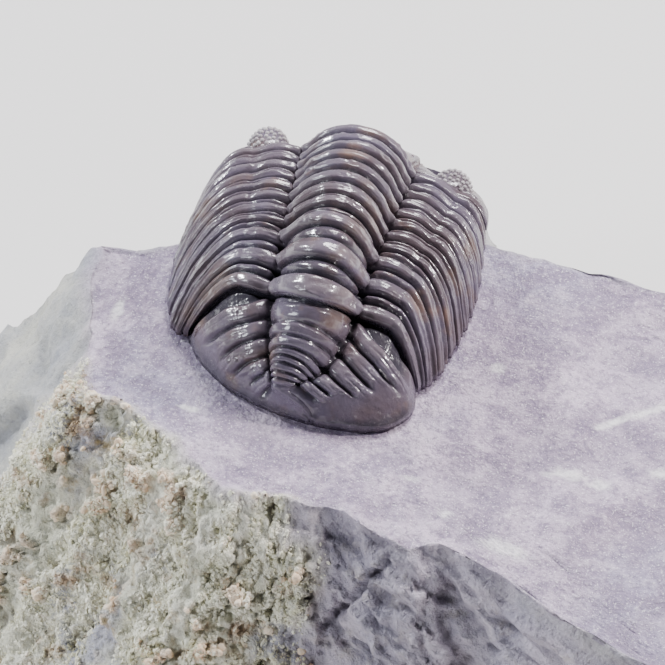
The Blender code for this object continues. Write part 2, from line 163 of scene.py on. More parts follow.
def rock_grid():
    """The block's points by bearing and ring, and the masks of its crust and its fresh break."""
    box = tuple((BLOCK_X[i], BLOCK_Y[j]) for i, j in ((1, 0), (1, 1), (0, 1), (0, 0)))
    bearings = crowded_bearings(ROCK_BEARINGS)
    degrees = np.degrees(bearings)
    slopes = np.interp(degrees, [s[0] for s in FACE_SLOPES], [s[1] for s in FACE_SLOPES])
    walls = np.array([edge_radius(b, box) for b in bearings])
    edges = np.array([edge_radius(b, PLATEAU_EDGE) for b in bearings])
    rim = np.stack([np.cos(bearings) * edges, np.sin(bearings) * edges, 0 * edges], axis=-1)
    edges = np.minimum(edges + 0.5 * fractal(rim, 3.5, 3) - 0.1, walls - 0.5)
    along = np.stack([np.cos(bearings), np.sin(bearings)], axis=-1)
    brow_at = np.array(ROCK_CENTRE) + along * edges[:, None]
    brow = ground(brow_at[:, 0], brow_at[:, 1])
    feet = np.minimum(edges + brow / slopes, walls)
    tops = (np.arange(1, ROCK_TOP_RINGS + 1) / ROCK_TOP_RINGS) ** 0.8
    outs = np.arange(1, ROCK_FACE_RINGS + 1) / ROCK_FACE_RINGS
    radii = np.concatenate([edges[:, None] * tops, edges[:, None] + (feet - edges)[:, None] * outs], axis=1)
    x = ROCK_CENTRE[0] + along[:, :1] * radii
    y = ROCK_CENTRE[1] + along[:, 1:] * radii
    fall = np.maximum(radii - edges[:, None], 0.0) * slopes[:, None]
    z = np.minimum(ground(x, y), brow[:, None] - fall)
    z[:, :ROCK_TOP_RINGS] = ground(x, y)[:, :ROCK_TOP_RINGS]
    grid = np.stack([x, y, z], axis=-1)
    past = radii - edges[:, None]
    turn = np.broadcast_to(degrees[:, None], past.shape)
    patch = fractal(grid, 6.0, 3, 2.0)
    frayed = turn + 6 * patch
    skin = smooth(CRUST_FROM - 6, CRUST_FROM + 6, turn + 7 * patch)
    skin *= smooth(CRUST_TO + 5, CRUST_TO - 5, frayed)
    crust = skin * smooth(-0.7, 0.6, past + 0.8 * patch)
    fresh = smooth(CRUST_TO - 4, CRUST_TO + 6, frayed) * smooth(*BREAK_END, turn)
    fresh *= smooth(-0.5, 2.4, past + 0.9 * patch)
    return grid, past, crust, fresh


def weathered(grid, past, crust, fresh):
    """Displaces the block's points into lumps, pits and ledges."""
    outward = grid_normals(grid)
    outward *= np.sign(outward[:, ROCK_TOP_RINGS // 2, 2]).mean()
    face = smooth(-1.0, 1.5, past)
    beside = np.hypot(grid[..., 0] + 1.0, (grid[..., 1] - 11.0) * 0.8)
    open_top = smooth(13.0, 22.0, beside) * (1 - face)
    swell = open_top * (0.6 * fractal(grid, 8.0, 4, 4.0) - 0.3)
    fine = 0.13 * fractal(grid, 2.1, 3, 5.0) + 0.07 * fractal(grid, 0.6, 3, 6.0)
    swell += (1 - face) * smooth(9.0, 13.0, beside) * fine
    swell += open_top * smooth(-4.0, -9.0, grid[..., 1]) * 0.35 * fractal(grid, 3.0, 3, 18.0)
    flakes, borders = cells(grid, 3.4, 1.0)
    swell += (1 - face) * smooth(17.0, 26.0, beside) * 0.22 * (flakes - 0.5) * smooth(0.0, 0.05, borders)
    cluster = smooth(-0.15, 0.25, fractal(grid, 4.5, 2, 12.0) + 0.45 * smooth(8.0, 1.0, past) - 0.1)
    nuggets, seams = cells(grid, 1.15, 2.0)
    lump = crust * cluster * smooth(0.35, 0.6, nuggets) * smooth(0.02, 0.22, seams)
    lumps = 0.7 * fractal(grid, 4.0, 3, 1.0) + 0.45 * fractal(grid, 1.3, 3, 3.0)
    lumps += 0.25 * fractal(grid, 0.42, 2, 13.0)
    pits = smooth(0.3, 0.75, fractal(grid, 1.7, 3, 19.0))
    lumps += 0.4 * cluster
    lumps -= 0.5 * smooth(0.2, 0.0, seams) * cluster
    lumps -= 0.7 * pits
    swell += crust * lumps + 0.6 * lump
    run = np.stack([grid[..., 0] * STREAK[0] + grid[..., 1] * STREAK[1],
                    4.0 * (grid[..., 1] * STREAK[0] - grid[..., 0] * STREAK[1]), 2.0 * grid[..., 2]], axis=-1)
    slab = grid[..., 2] + 0.32 * grid[..., 0] + 1.6 * fractal(grid, 7.0, 4, 7.0)
    tread = (slab / LEDGE_STEP) % 1.0
    ledges = 0.55 * (tread - 0.5) * smooth(1.0, 0.92, tread) + 0.45 * fractal(grid, 5.0, 3, 14.0)
    ledges += 0.45 * fractal(run, 4.0, 4, 8.0) + 0.26 * fractal(grid, 0.8, 3, 15.0)
    blocks, cracks = cells(run * 0.3, 1.0, 5.0)
    ledges += 0.35 * (blocks - 0.5) * smooth(0.0, 0.06, cracks)
    ledges -= 0.8 * smooth(0.32, 0.04, from_segment(grid, CRACK) + 0.15 * fractal(grid, 0.8, 2, 16.0))
    swell += fresh * ledges
    plain = face * (1 - crust) * (1 - fresh)
    hacked, edges = cells(grid, 7.0, 20.0)
    swell += plain * (0.7 * fractal(grid, 6.0, 4, 9.0) + 0.14 * fractal(grid, 1.0, 3, 10.0))
    swell += plain * 0.9 * (hacked - 0.5) * smooth(0.0, 0.2, edges)
    blur = 0.55 * fractal(grid, 0.9, 3, 17.0)
    chalk = smooth(0.5, 0.1, from_segment(grid, CHALK_VEIN) + 0.35 * blur)
    for x, y, long, wide in CHALK_SPOTS:
        away = np.hypot((grid[..., 0] - x) / long, (grid[..., 1] - y) / wide)
        chalk = np.maximum(chalk, smooth(1.1, 0.35, away + blur))
    marks = {"crust": crust, "fresh": fresh, "plain": plain, "relief": swell, "lump": lump, "chalk": chalk}
    near_foot = smooth(0.0, 2.5, grid[..., 2])
    moved = grid + outward * (swell * near_foot)[..., None]
    moved[..., 0] = np.clip(moved[..., 0], *BLOCK_X)
    moved[..., 1] = np.clip(moved[..., 1], *BLOCK_Y)
    moved[..., 2] = np.maximum(moved[..., 2], 0.3 * (grid[..., 2] > 0.05))
    beneath = smooth(21.0, 17.0, beside) * (1 - face)
    level = ground(moved[..., 0], moved[..., 1]) - 0.02
    moved[..., 2] = np.where(beneath > 0.5, np.minimum(moved[..., 2], level), moved[..., 2])
    return moved, marks


def rock_mesh():
    moved, values = weathered(*rock_grid())
    count, rings = moved.shape[:2]
    foot = moved[:, -1] * np.array((1.0, 1.0, 0.0))
    top = np.array([[*ROCK_CENTRE, ground(*ROCK_CENTRE)]])
    points = np.concatenate([top, moved.reshape(-1, 3), foot])
    faces = []
    first_foot = 1 + count * rings
    for k in range(count):
        a, b = 1 + k * rings, 1 + ((k + 1) % count) * rings
        faces.append((0, a, b))
        for i in range(rings - 1):
            faces.append((a + i, a + i + 1, b + i + 1, b + i))
        faces.append((a + rings - 1, first_foot + k, first_foot + (k + 1) % count, b + rings - 1))
    faces.append(tuple(first_foot + k for k in reversed(range(count))))
    marks = {mark: np.concatenate([[0.0], v.ravel(), v[:, -1]]) for mark, v in values.items()}
    return lay_mesh("limestone_block", points, faces, marks)


def wire(tree, kind, sockets=None, **settings):
    """Adds a node to a tree, with its settings, and with values or other nodes' outputs on its sockets."""
    made = tree.nodes.new(kind)
    for key, value in settings.items():
        setattr(made, key, value)
    for socket, value in (sockets or {}).items():
        if isinstance(value, bpy.types.NodeSocket):
            tree.links.new(value, made.inputs[socket])
        else:
            made.inputs[socket].default_value = value
    return made


def empty_material(name):
    made = bpy.data.materials.new(name)
    made.use_nodes = True
    tree = made.node_tree
    return made, tree, tree.nodes["Principled BSDF"]


def grain(tree, where, scale, detail=4.0, rough=0.6):
    sockets = {"Vector": where, "Scale": scale, "Detail": detail, "Roughness": rough}
    return wire(tree, "ShaderNodeTexNoise", sockets).outputs["Fac"]


def window(tree, value, low, high, to_low=0.0, to_high=1.0):
    """A value's share between two limits, held at both ends."""
    sockets = {"Value": value, "From Min": low, "From Max": high, "To Min": to_low, "To Max": to_high}
    return wire(tree, "ShaderNodeMapRange", sockets, clamp=True).outputs["Result"]


def blend_colour(tree, share, first, second):
    made = wire(tree, "ShaderNodeMix", data_type="RGBA")
    for socket, value in ((0, share), (6, first), (7, second)):
        if isinstance(value, bpy.types.NodeSocket):
            tree.links.new(value, made.inputs[socket])
        else:
            made.inputs[socket].default_value = (*value, 1.0) if isinstance(value, tuple) else value
    return made.outputs[2]


def tinted(tree, colour, tints):
    """Lays tints over a colour. Each one has the value that it follows, the two limits between which it
    fades in, its strength at the second limit, and its colour."""
    for value, low, high, most, tint in tints:
        colour = blend_colour(tree, window(tree, value, low, high, 0.0, most), colour, tint)
    return colour


def maths(tree, operation, first, second):
    return wire(tree, "ShaderNodeMath", {0: first, 1: second}, operation=operation).outputs[0]


def marked(tree, mark):
    return wire(tree, "ShaderNodeAttribute", attribute_name=mark).outputs["Fac"]


def speckle_group():
    """Three sizes of stone grain shared by the block and its crumbs, as values between 0 and 1."""
    group = bpy.data.node_groups.new("stone_speckle", "ShaderNodeTree")
    group.interface.new_socket("Vector", in_out="INPUT", socket_type="NodeSocketVector")
    for name in ("Middling", "Fine", "Dust"):
        group.interface.new_socket(name, in_out="OUTPUT", socket_type="NodeSocketFloat")
    given = wire(group, "NodeGroupInput").outputs["Vector"]
    wire(group, "NodeGroupOutput", {
        "Middling": grain(group, given, 420.0, 5.0, 0.65), "Fine": grain(group, given, 2300.0, 4.0, 0.7),
        "Dust": grain(group, given, 6200.0, 2.0, 0.6)})
    return group


def limestone():
    """Lavender limestone with pale speckle, a cream and green weathered skin, and a bluish break."""
    made, tree, shader = empty_material("lavender_limestone")
    where = wire(tree, "ShaderNodeTexCoord").outputs["Object"]
    crust, fresh, plain, relief = (marked(tree, mark) for mark in ("crust", "fresh", "plain", "relief"))
    speckle = wire(tree, "ShaderNodeGroup", node_tree=stone_speckle)
    tree.links.new(where, speckle.inputs["Vector"])
    middling, fine, dust = (speckle.outputs[name] for name in ("Middling", "Fine", "Dust"))
    broad = window(tree, grain(tree, where, 90.0, 4.0), 0.40, 0.60)
    stone = tinted(tree, blend_colour(tree, broad, (0.33, 0.26, 0.37), (0.70, 0.57, 0.73)), (
        (grain(tree, where, 62.0, 3.0), 0.46, 0.62, 0.75, (0.36, 0.34, 0.49)),
        (middling, 0.5, 0.64, 0.5, (0.68, 0.58, 0.70)),
        (middling, 0.54, 0.40, 0.75, (0.26, 0.20, 0.31)),
        (fine, 0.56, 0.68, 0.45, (0.80, 0.73, 0.83)),
        (fine, 0.50, 0.37, 0.6, (0.20, 0.155, 0.25)),
        # Painted shade: darker lavender in the hollows and pits of the relief
        (relief, -0.2, -0.8, 0.4, (0.28, 0.23, 0.33)),
        # Tiny white points: white grains of the stone, and painted glints of its sparkle
        (dust, 0.60, 0.68, 0.7, (0.98, 0.94, 1.0)),
    ))
    chalk = maths(tree, "MULTIPLY", marked(tree, "chalk"), window(tree, fine, 0.3, 0.55, 0.35, 0.9))
    stone = blend_colour(tree, chalk, stone, (0.92, 0.89, 0.92))
    sheet = window(tree, grain(tree, where, 150.0, 5.0), 0.36, 0.62)
    bare = tinted(tree, blend_colour(tree, sheet, (0.41, 0.38, 0.48), (0.70, 0.62, 0.72)), (
        (middling, 0.52, 0.66, 0.6, (0.56, 0.49, 0.45)),
        (fine, 0.52, 0.7, 0.7, (0.68, 0.64, 0.69)),
        (fine, 0.45, 0.3, 0.6, (0.15, 0.14, 0.19)),
        # Painted shade: near black in the hollows and grooves of the break
        (relief, -0.1, -0.9, 0.6, (0.15, 0.14, 0.18)),
    ))
    cream = window(tree, grain(tree, where, 170.0, 5.0, 0.7), 0.4, 0.6)
    skin = tinted(tree, blend_colour(tree, cream, (0.76, 0.75, 0.58), (0.97, 0.94, 0.80)), (
        (grain(tree, where, 110.0, 4.0, 0.65), 0.56, 0.66, 0.85, (0.50, 0.50, 0.62)),
        (grain(tree, where, 240.0, 4.0, 0.7), 0.58, 0.68, 0.75, (0.42, 0.26, 0.14)),
        (marked(tree, "lump"), 0.0, 1.0, 0.95, (0.90, 0.68, 0.50)),
        (fine, 0.52, 0.7, 0.7, (0.86, 0.84, 0.74)),
        (fine, 0.46, 0.3, 0.75, (0.20, 0.18, 0.12)),
        (grain(tree, where, 330.0, 4.0, 0.7), 0.56, 0.68, 0.8, (0.52, 0.40, 0.20)),
        # Painted shade: dark brown in the pits and hollows of the crust
        (relief, -0.25, -0.9, 0.85, (0.17, 0.135, 0.09)),
    ))
    moss = window(tree, grain(tree, where, 70.0, 5.0, 0.7), 0.4, 0.6)
    side = tinted(tree, blend_colour(tree, moss, (0.34, 0.35, 0.40), (0.56, 0.55, 0.49)), (
        (fine, 0.45, 0.32, 0.6, (0.24, 0.23, 0.25)),
        (fine, 0.55, 0.75, 0.5, (0.76, 0.76, 0.74)),
    ))
    colour = blend_colour(tree, plain, stone, side)
    colour = blend_colour(tree, fresh, colour, bare)
    colour = blend_colour(tree, crust, colour, skin)
    tree.links.new(colour, shader.inputs["Base Color"])
    tree.links.new(window(tree, middling, 0.3, 0.7, 0.5, 0.85), shader.inputs["Roughness"])
    rough = maths(tree, "ADD", maths(tree, "MULTIPLY", middling, 0.5), maths(tree, "MULTIPLY", fine, 0.35))
    rough = maths(tree, "ADD", rough, maths(tree, "MULTIPLY", dust, 0.08))
    coarse = maths(tree, "ADD", maths(tree, "MULTIPLY", maths(tree, "MAXIMUM", crust, fresh), 0.5), 0.8)
    height = maths(tree, "MULTIPLY", rough, coarse)
    bump = wire(tree, "ShaderNodeBump", {"Height": height, "Strength": 0.9, "Distance": 1.1 * MM})
    tree.links.new(bump.outputs["Normal"], shader.inputs["Normal"])
    return made


stone_speckle = speckle_group()
block = rock_mesh()
stone = limestone()
block.data.materials.append(stone)


# Crumbs of the weathered skin: loose grains of the stone itself, stuck close together to the lumpy crust,
# and larger tan lumps along its upper edge. They have grown from it, so they are made as crumbly meshes.

# Each scatter's name, the mark that says where it lies, its number for each square millimetre, least
# spacing, smallest and largest radius in millimetres, roundness (icosphere subdivisions) and seed
CRUMBS = (
    ("crust_lumps", "lump", 9.0, 0.25, 0.12, 0.42, 2, 4),
    ("crust_crumbs", "crust", 20.0, 0.13, 0.07, 0.27, 1, 11),
    ("crust_grit", "crust", 20.0, 0.13, 0.05, 0.2, 1, 23),
)
MOST_CRUMBS = (9600, 2300)  # in one mesh, at roundness 1 and 2


def crumb_tree(name, mark, roundness, seed):
    tree = bpy.data.node_groups.new(name, "GeometryNodeTree")
    tree.interface.new_socket("Geometry", in_out="INPUT", socket_type="NodeSocketGeometry")
    for wanted in ("Density", "Spacing", "Smallest", "Largest"):
        tree.interface.new_socket(wanted, in_out="INPUT", socket_type="NodeSocketFloat")
    tree.interface.new_socket("Finish", in_out="INPUT", socket_type="NodeSocketMaterial")
    tree.interface.new_socket("Geometry", in_out="OUTPUT", socket_type="NodeSocketGeometry")
    given = wire(tree, "NodeGroupInput")
    held = wire(tree, "GeometryNodeInputNamedAttribute", {"Name": mark}, data_type="FLOAT")
    spot = wire(tree, "GeometryNodeInputPosition").outputs[0]
    height = wire(tree, "ShaderNodeSeparateXYZ", {"Vector": spot}).outputs["Z"]
    above_foot = window(tree, height, 1.5 * MM, 3.0 * MM)
    thicker = window(tree, height, 6.0 * MM, 14.0 * MM, 0.15, 1.0)
    cover = maths(tree, "MULTIPLY", maths(tree, "POWER", held.outputs["Attribute"], 2.0), above_foot)
    cover = maths(tree, "MULTIPLY", cover, thicker)
    scatter = wire(tree, "GeometryNodeDistributePointsOnFaces", {
        "Mesh": given.outputs["Geometry"], "Distance Min": given.outputs["Spacing"],
        "Density Max": given.outputs["Density"], "Density Factor": cover, "Seed": seed},
        distribute_method="POISSON")
    order = wire(tree, "GeometryNodeInputIndex").outputs[0]
    beyond = wire(tree, "FunctionNodeCompare", {2: order, 3: MOST_CRUMBS[roundness - 1]}, data_type="INT",
                  operation="GREATER_EQUAL")
    kept = wire(tree, "GeometryNodeDeleteGeometry", {
        "Geometry": scatter.outputs["Points"], "Selection": beyond.outputs[0]}, domain="POINT")
    pebble = wire(tree, "GeometryNodeMeshIcoSphere", {"Radius": 1.0, "Subdivisions": roundness})
    full_turn = (6.28, 6.28, 6.28)
    turned = wire(tree, "FunctionNodeRandomValue", {0: (0.0, 0.0, 0.0), 1: full_turn, "Seed": 2},
                  data_type="FLOAT_VECTOR")
    size = wire(tree, "FunctionNodeRandomValue", {2: 0.0, 3: 1.0, "Seed": 7}, data_type="FLOAT")
    mostly_small = maths(tree, "POWER", size.outputs[1], 2.4)
    radius = window(tree, mostly_small, 0.0, 1.0, given.outputs["Smallest"], given.outputs["Largest"])
    squash = wire(tree, "FunctionNodeRandomValue", {0: (0.7, 0.55, 0.4), 1: (1.3, 1.1, 0.9), "Seed": 9},
                  data_type="FLOAT_VECTOR")
    scale = wire(tree, "ShaderNodeVectorMath", {0: squash.outputs[0], 1: radius}, operation="MULTIPLY")
    placed = wire(tree, "GeometryNodeInstanceOnPoints", {
        "Points": kept.outputs[0], "Instance": pebble.outputs["Mesh"],
        "Rotation": turned.outputs[0], "Scale": scale.outputs[0]})
    real = wire(tree, "GeometryNodeRealizeInstances", {"Geometry": placed.outputs["Instances"]})
    wobble = wire(tree, "ShaderNodeTexNoise", {"Vector": spot, "Scale": 3600.0, "Detail": 1.0})
    centred = wire(tree, "ShaderNodeVectorMath", {0: wobble.outputs["Color"], 1: (0.5, 0.5, 0.5)},
                   operation="SUBTRACT")
    shoved = wire(tree, "ShaderNodeVectorMath", {0: centred.outputs[0], "Scale": 0.35 * MM},
                  operation="SCALE")
    chipped = wire(tree, "GeometryNodeSetPosition", {
        "Geometry": real.outputs[0], "Offset": shoved.outputs[0]})
    coated = wire(tree, "GeometryNodeSetMaterial", {
        "Geometry": chipped.outputs[0], "Material": given.outputs["Finish"]})
    wire(tree, "NodeGroupOutput", {0: coated.outputs[0]})
    return tree


def grown(name, source, tree, values):
    """A plain mesh from a Geometry Nodes tree that is run on a copy of a mesh. The tree's inputs are given
    by their names."""
    carrier = bpy.data.objects.new(name, source.data.copy())
    bpy.context.scene.collection.objects.link(carrier)
    maker = carrier.modifiers.new(name, "NODES")
    maker.node_group = tree
    for item in tree.interface.items_tree:
        if item.item_type == "SOCKET" and item.in_out == "INPUT" and item.name in values:
            maker[item.identifier] = values[item.name]
    made = bpy.data.meshes.new_from_object(carrier.evaluated_get(bpy.context.evaluated_depsgraph_get()))
    carrier.modifiers.clear()
    carrier.data = made
    made.name = name
    return carrier


def crumb_finish(name, dark, pale):
    made, tree, shader = empty_material(name)
    where = wire(tree, "ShaderNodeTexCoord").outputs["Object"]
    speckle = wire(tree, "ShaderNodeGroup", node_tree=stone_speckle)
    tree.links.new(where, speckle.inputs["Vector"])
    fine = speckle.outputs["Fine"]
    colour = blend_colour(tree, window(tree, grain(tree, where, 380.0, 3.0), 0.38, 0.6), dark, pale)
    colour = tinted(tree, colour, (
        (grain(tree, where, 240.0, 4.0, 0.7), 0.56, 0.66, 0.75, (0.47, 0.30, 0.18)),
        (fine, 0.5, 0.7, 0.6, (0.86, 0.83, 0.74)),
    ))
    tree.links.new(colour, shader.inputs["Base Color"])
    shader.inputs["Roughness"].default_value = 0.85
    bump = wire(tree, "ShaderNodeBump", {"Height": fine, "Strength": 0.6, "Distance": 0.3 * MM})
    tree.links.new(bump.outputs["Normal"], shader.inputs["Normal"])
    return made


crumb_looks = (crumb_finish("tan_crumbs", (0.86, 0.64, 0.44), (0.98, 0.84, 0.66)),
               crumb_finish("pale_crumbs", (0.80, 0.78, 0.58), (0.98, 0.96, 0.82)))
stony = [block]
for name, mark, density, spacing, smallest, largest, roundness, seed in CRUMBS:
    look = crumb_looks[0 if mark == "lump" else 1]
    tree = crumb_tree(name, mark, roundness, seed)
    piece = grown(name, block, tree, {
        "Density": density * 1e6, "Spacing": spacing * MM, "Smallest": smallest * MM, "Largest": largest * MM,
        "Finish": look})
    if roundness > 1:
        piece.data.shade_smooth()
    stony.append(piece)

for piece in stony:
    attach(piece, "root")
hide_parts("matrix_rock")


# The thorax: eleven arched plates of dark calcite, from the head to the tail, each slid a little under the
# one before it. A plate is a round axial ring with a sunken half ring at its front, and two long side
# pleurae with a groove, which bend down at the fulcrum and end in blunt tips just above the stone.

# The axial furrow's level at the back edge of the last plate
BODY_AT = (-0.85, 2.5, PLATEAU_HEIGHT + 5.8)
BODY_ROLL = 8.2
BODY_YAW = 2.1
SEGMENTS = 11
# Along the back, from the tail to the head
SEGMENT_LENGTHS = (2.3, 2.5, 2.1, 1.35, 1.68, 1.71, 1.74, 1.78, 1.81, 1.85, 1.88)
# Places along the thorax, counted in plates from the tail, and how steeply the back climbs there in degrees
PITCH = ((0, 34.8), (1, 17.0), (2, 5.5), (5, -4.5), (8, -14.5), (11, -17.5))
# The cross-section's measures at the tail and at the head, and halfway too for the tips
AXIS_HALF = (3.3, 4.4)
AXIS_RISE = (4.6, 3.45)
AXIS_ROUNDNESS = 1.2
FLANK_SWELL = 0.5
FULCRUM = (6.15, 8.4)
FULCRUM_DROP = (0.0, 0.75)
TIP_HALF = (10.0, 12.1, 12.2)
TIP_DROP = 9.7
TIP_SWEEP = (-7.2, -1.8)
TAIL_SKEW = 1.2  # how far the right tips lie back at the tail, and the left ones forward
AXIS_SWEEP = -0.65
FLANK_POWER = (1.4, 0.85)
TIP_EDGE = 0.55
AXIS_STATIONS, INNER_STATIONS, FLANK_STATIONS = 40, 16, 58
PLATE_ROWS = 34
HALF_BANDS = np.concatenate([np.linspace(0, 1, AXIS_STATIONS + 1), np.linspace(1, 2, INNER_STATIONS + 1)[1:],
                             np.linspace(2, 3, FLANK_STATIONS + 1)[1:]])
BANDS = np.concatenate([-HALF_BANDS[::-1], HALF_BANDS[1:]])  # 0 on the crest, 1 furrow, 2 fulcrum, 3 tip


def mix(pair, share):
    return pair[0] + (pair[1] - pair[0]) * share


def to_world(body):
    """Turns points of the fossil's own frame by its roll and yaw, and lays them on the block."""
    x, y, z = np.moveaxis(np.asarray(body, float), -1, 0)
    roll, yaw = math.radians(BODY_ROLL), math.radians(BODY_YAW)
    x, z = x * math.cos(roll) + z * math.sin(roll), z * math.cos(roll) - x * math.sin(roll)
    x, y = x * math.cos(yaw) - y * math.sin(yaw), x * math.sin(yaw) + y * math.cos(yaw)
    return np.stack([x + BODY_AT[0], y + BODY_AT[1], z + BODY_AT[2]], axis=-1)


SPINE_STEPS = 40
SPINE_AT = np.arange(SEGMENTS * SPINE_STEPS + 1) / SPINE_STEPS
SPINE_PITCH = np.radians(np.interp(SPINE_AT, [p[0] for p in PITCH], [p[1] for p in PITCH]))
SPINE_LENGTH = np.repeat(SEGMENT_LENGTHS, SPINE_STEPS) / SPINE_STEPS
SPINE_Y = np.concatenate([[0.0], np.cumsum(SPINE_LENGTH * np.cos((SPINE_PITCH[1:] + SPINE_PITCH[:-1]) / 2))])
SPINE_Z = np.concatenate([[0.0], np.cumsum(SPINE_LENGTH * np.sin((SPINE_PITCH[1:] + SPINE_PITCH[:-1]) / 2))])


def section(share, bands, end):
    """A cross-section's half width, height and sweep at the given bands."""
    axis = np.clip(bands, 0, 1) * math.pi / 2
    inner = np.clip(bands - 1, 0, 1)
    flank = np.clip(bands - 2, 0, 1) * end
    axis_half, fulcrum, drop = mix(AXIS_HALF, share), mix(FULCRUM, share), mix(FULCRUM_DROP, share)
    back, middle, front = TIP_HALF
    tip = back * (1 - share) * (1 - 2 * share) + middle * 4 * share * (1 - share)
    tip += front * share * (2 * share - 1)
    rise = np.maximum(np.cos(axis), 0.0) ** AXIS_ROUNDNESS
    x = axis_half * np.sin(axis) + (fulcrum - axis_half) * inner
    x = x + (tip - fulcrum) * np.sin(flank) ** mix(FLANK_POWER, share)
    up = mix(AXIS_RISE, share) * rise + FLANK_SWELL * np.sin(math.pi * inner) - drop * inner**2
    up = up - TIP_DROP * (1 - np.cos(flank))
    along = AXIS_SWEEP * rise + mix(TIP_SWEEP, share) * (1 - np.cos(flank))
    return x, up, along


def place_section(at, side, bands, end):
    pitch, y, z = (np.interp(at, SPINE_AT, v) for v in (SPINE_PITCH, SPINE_Y, SPINE_Z))
    x, up, along = section(at / SEGMENTS, bands, end)
    y = y - side * TAIL_SKEW * max(0.0, 1 - at / 4) * (x / TIP_HALF[0]) ** 2
    body = [side * x, y + along * math.cos(pitch) - up * math.sin(pitch),
            z + along * math.sin(pitch) + up * math.cos(pitch)]
    return to_world(np.stack(body, axis=-1))


def section_line(at):
    """The line across the back at one place along the thorax, tip to tip, ending just above the rock."""
    halves = []
    for side in (-1, 1):
        probe = place_section(at, side, np.linspace(2, 3, 201), math.pi / 2)
        above = probe[:, 2] > ground(probe[:, 0], probe[:, 1]) + GAP + TIP_EDGE
        end = math.pi / 2 * (np.argmin(above) if not above.all() else 200) / 200
        halves.append(place_section(at, side, HALF_BANDS, end))
    line = np.concatenate([halves[0][::-1], halves[1][1:]])
    soft = line.copy()
    soft[2:-2] = (line[:-4] + 2 * line[1:-3] + 3 * line[2:-2] + 2 * line[3:-1] + line[4:]) / 9
    return soft


def bump_at(u, middle, width):
    return np.exp(-((u - middle) / width) ** 2)


def lip(u):
    """The rounded back rim of a plate, falling to its joint."""
    past = np.clip((u - 0.9) / 0.1, 0.0, 1.0)
    return -0.6 * (1 - np.sqrt(np.maximum(1 - past**2, 0.0)))


def ring_profile(u):
    half_ring = (-0.62 + 0.4 * np.sin(math.pi * np.clip(u / 0.4, 0, 1)) ** 0.8) * smooth(0.46, 0.4, u)
    groove = -0.5 * bump_at(u, 0.43, 0.04)
    ring = 0.2 * np.sin(math.pi * np.clip((u - 0.46) / 0.52, 0, 1)) ** 0.5
    return half_ring + groove + ring + lip(u)


def pleura_profile(u):
    flange = -0.5 * smooth(0.12, 0.03, u)
    front_band = -0.16 + 0.12 * bump_at(u, 0.2, 0.08)
    groove = -0.36 * bump_at(u, 0.38, 0.07)
    back_band = 0.36 * np.sin(math.pi * np.clip((u - 0.44) / 0.54, 0, 1)) ** 0.6
    return flange + front_band + groove + back_band + lip(u)


def plate_relief(u, bands, length, grid, number):
    """How far each point of a plate stands above or below the smooth back, in millimetres."""
    across = np.abs(bands)[None]
    u = u[:, None]
    bend = u + 0.05 * fractal(grid, 4.0, 2, number * 0.37)
    stretched = (1.4 * bands[None], 6.5 * bend, number * 3.1 + 0 * bend)
    lengthwise = np.stack(np.broadcast_arrays(*stretched), axis=-1)
    streaks = 0.11 * fractal(lengthwise, 1.0, 3, 1.7) * smooth(0.06, 0.2, u) * smooth(0.98, 0.9, u)
    on_ring = smooth(1.02, 0.9, across)
    on_side = 1 - on_ring
    fade = smooth(2.75, 2.2, across)
    side = (pleura_profile(u) * fade + (lip(u) + pleura_profile(u) * 0.35) * (1 - fade)) * on_side
    ring = ring_profile(u) * on_ring
    furrow = -0.42 * bump_at(across, 1.0, 0.07) * (1 - 0.85 * bump_at(bend, 0.7, 0.2))
    node = 0.3 * bump_at(across, 0.86, 0.08) * bump_at(bend, 0.72, 0.2)
    shoulder = 0.18 * bump_at(across, 1.16, 0.1) * bump_at(bend, 0.75, 0.2)
    vigour = min(1.0, 0.4 + length / 3.2) * (1 + 0.16 * math.sin(2.4 * number))
    return (ring + side + furrow + node + shoulder) * vigour + streaks


def close_down(name, top, marks, look):
    """Closes a grid of the back straight down to just above the rock, as one solid plate."""
    rows, columns = top.shape[:2]
    floor_level = ground(top[..., 0], top[..., 1]) + GAP
    top = top.copy()
    top[..., 2] = np.maximum(top[..., 2], floor_level + 0.12)
    index = np.arange(rows * columns).reshape(rows, columns)
    rim = np.concatenate([index[0], index[1:, -1], index[-1, -2::-1], index[-2:0:-1, 0]])
    flat = top.reshape(-1, 3)
    foot = flat[rim].copy()
    foot[:, 2] = floor_level.ravel()[rim]
    faces = []
    for r in range(rows - 1):
        for c in range(columns - 1):
            a = r * columns + c
            faces.append((a, a + columns, a + columns + 1, a + 1))
    first = len(flat)
    for i in range(len(rim)):
        j = (i + 1) % len(rim)
        faces.append((int(rim[i]), int(rim[j]), first + j, first + i))
    faces.append(tuple(first + i for i in range(len(rim))))
    values = {mark: np.concatenate([v.ravel(), v.ravel()[rim]]) for mark, v in marks.items()}
    made = lay_mesh(name, np.concatenate([flat, foot]), faces, values)
    made.data.materials.append(look)
    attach(made, "root")
    return made


def roughened(grid, lift):
    """Adds chipped crests and fine grain to a relief."""
    crest = smooth(0.02, 0.2, lift)
    patches = smooth(0.0, 0.5, fractal(grid, 3.0, 2, 3.3))
    worn = 0.15 * crest * patches * fractal(grid, 0.5, 2, 4.4)
    return lift + worn + 0.032 * fractal(grid, 0.7, 3, 5.5) + 0.07 * fractal(grid, 2.4, 2, 6.6)


